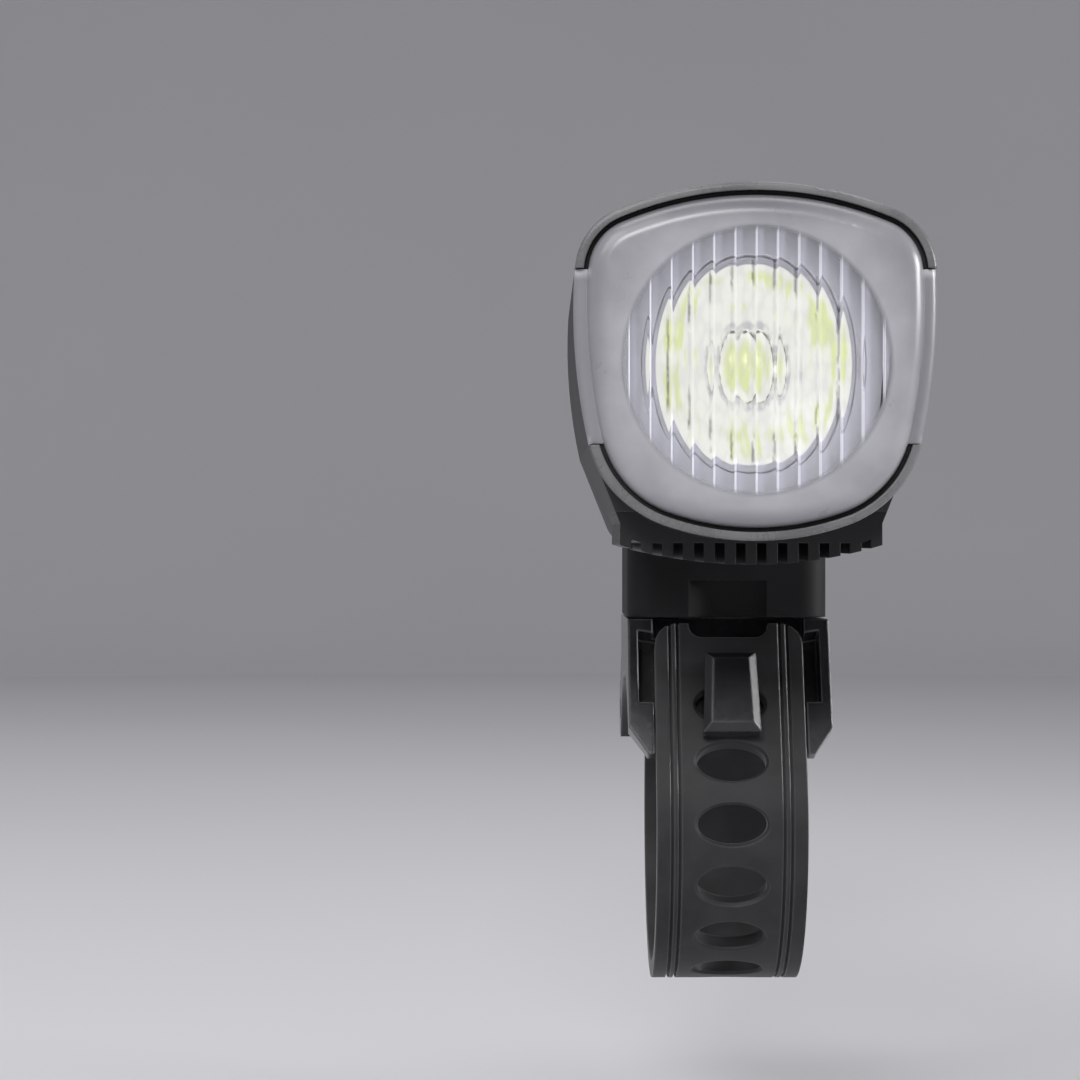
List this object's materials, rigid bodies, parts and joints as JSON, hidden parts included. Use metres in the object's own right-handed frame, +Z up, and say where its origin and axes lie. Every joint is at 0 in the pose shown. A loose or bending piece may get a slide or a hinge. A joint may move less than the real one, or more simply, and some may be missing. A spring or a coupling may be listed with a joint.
{
  "type": "bike headlight",
  "caption": "Compact rechargeable bike headlight with a finned chin and a hooked rubber strap for a round handlebar.",
  "frame": {"origin": "On the handlebar's axis, in the middle of the strap's width.", "axes": "+X runs along the handlebar, to the right as seen from in front; the beam shines towards -Y; +Z is up."},
  "size_m": [0.0344, 0.0875, 0.0833],
  "materials": {
    "strap_rubber": "matt dark grey silicone rubber",
    "seal_rubber": "matt black rubber",
    "button_rubber": "satin black rubber",
    "steel": "plain bright steel",
    "brass": "turned brass",
    "bracket_plastic": "glossy black moulded plastic",
    "foot_plastic": "satin black moulded plastic",
    "shell_plastic": "fine textured black plastic",
    "bezel_plastic": "satin black plastic with a light edge",
    "white_plastic": "white moulded plastic",
    "pale_surround": "pale grey diffusing plastic",
    "frosted_lens": "frosted clear plastic with a fluted window",
    "clear_optic": "polished clear plastic",
    "black_aluminium": "black anodised aluminium",
    "led_board_white": "white solder mask on aluminium",
    "led_phosphor": "yellow phosphor",
    "cell_wrap": "blue shrink wrap",
    "foam": "closed cell foam",
    "board_green": "green solder mask",
    "chip_black": "black moulded resin"
  },
  "bodies": {
    "bracket": {"saddle": "bracket_plastic", "bar_pad": "seal_rubber", "strap_pin": "steel", "swivel_ring": "white_plastic"},
    "strap": {"strap": "strap_rubber"},
    "lamp": {"swivel_washer": "steel", "swivel_screw": "steel", "swivel_nut": "brass", "mount_foot": "foot_plastic", "foot_screws": "steel", "front_lens": "frosted_lens", "lens_gasket": "seal_rubber", "front_bezel": "bezel_plastic", "housing": "shell_plastic", "heat_sink": "black_aluminium", "heat_sink_screws": "steel", "led_board": "led_board_white", "led_board_screws": "steel", "led_emitter": "led_phosphor", "collimator": "clear_optic", "optic_holder": "white_plastic", "lens_surround": "pale_surround", "battery_cell": "cell_wrap", "battery_tabs": "steel", "battery_pads": "foam", "main_board": "board_green", "board_chips": "chip_black", "indicator_leds": "led_phosphor", "tact_switch": "chip_black", "indicator_window": "clear_optic", "rear_cap": "shell_plastic", "rear_gasket": "seal_rubber", "rear_cap_screws": "steel", "usb_shell": "steel", "usb_tongue": "chip_black"},
    "button": {"power_button": "button_rubber"},
    "plunger": {"switch_plunger": "chip_black"},
    "port_cover": {"port_cover": "button_rubber"}
  },
  "joints": [
    {"name": "lamp_swivel", "type": "hinge", "parent": "bracket", "child": "lamp", "pos_m": [0, 0.001, 0.0226], "axis": [0, 0, 1], "range_deg": [-15, 15]},
    {"name": "strap_swing", "type": "hinge", "parent": "bracket", "child": "strap", "pos_m": [0, 0.01553, 0.01128], "axis": [1, 0, 0], "range_deg": [0, 80], "deforming": ["strap"]},
    {"name": "button_press", "type": "slide", "parent": "lamp", "child": "button", "axis": [0, 0, -1], "range_m": [0, 0.0005], "stiffness_N_per_m": 1500},
    {"name": "plunger_press", "type": "slide", "parent": "lamp", "child": "plunger", "axis": [0, 0, -1], "range_m": [0, 0.0005]},
    {"name": "port_cover_swing", "type": "hinge", "parent": "lamp", "child": "port_cover", "pos_m": [0, 0.0372, 0.05313], "axis": [-1, 0, 0], "range_deg": [0, 100]}
  ],
  "couplings": [
    {"joint": "plunger_press", "follows": "button_press", "ratio": 1}
  ]
}
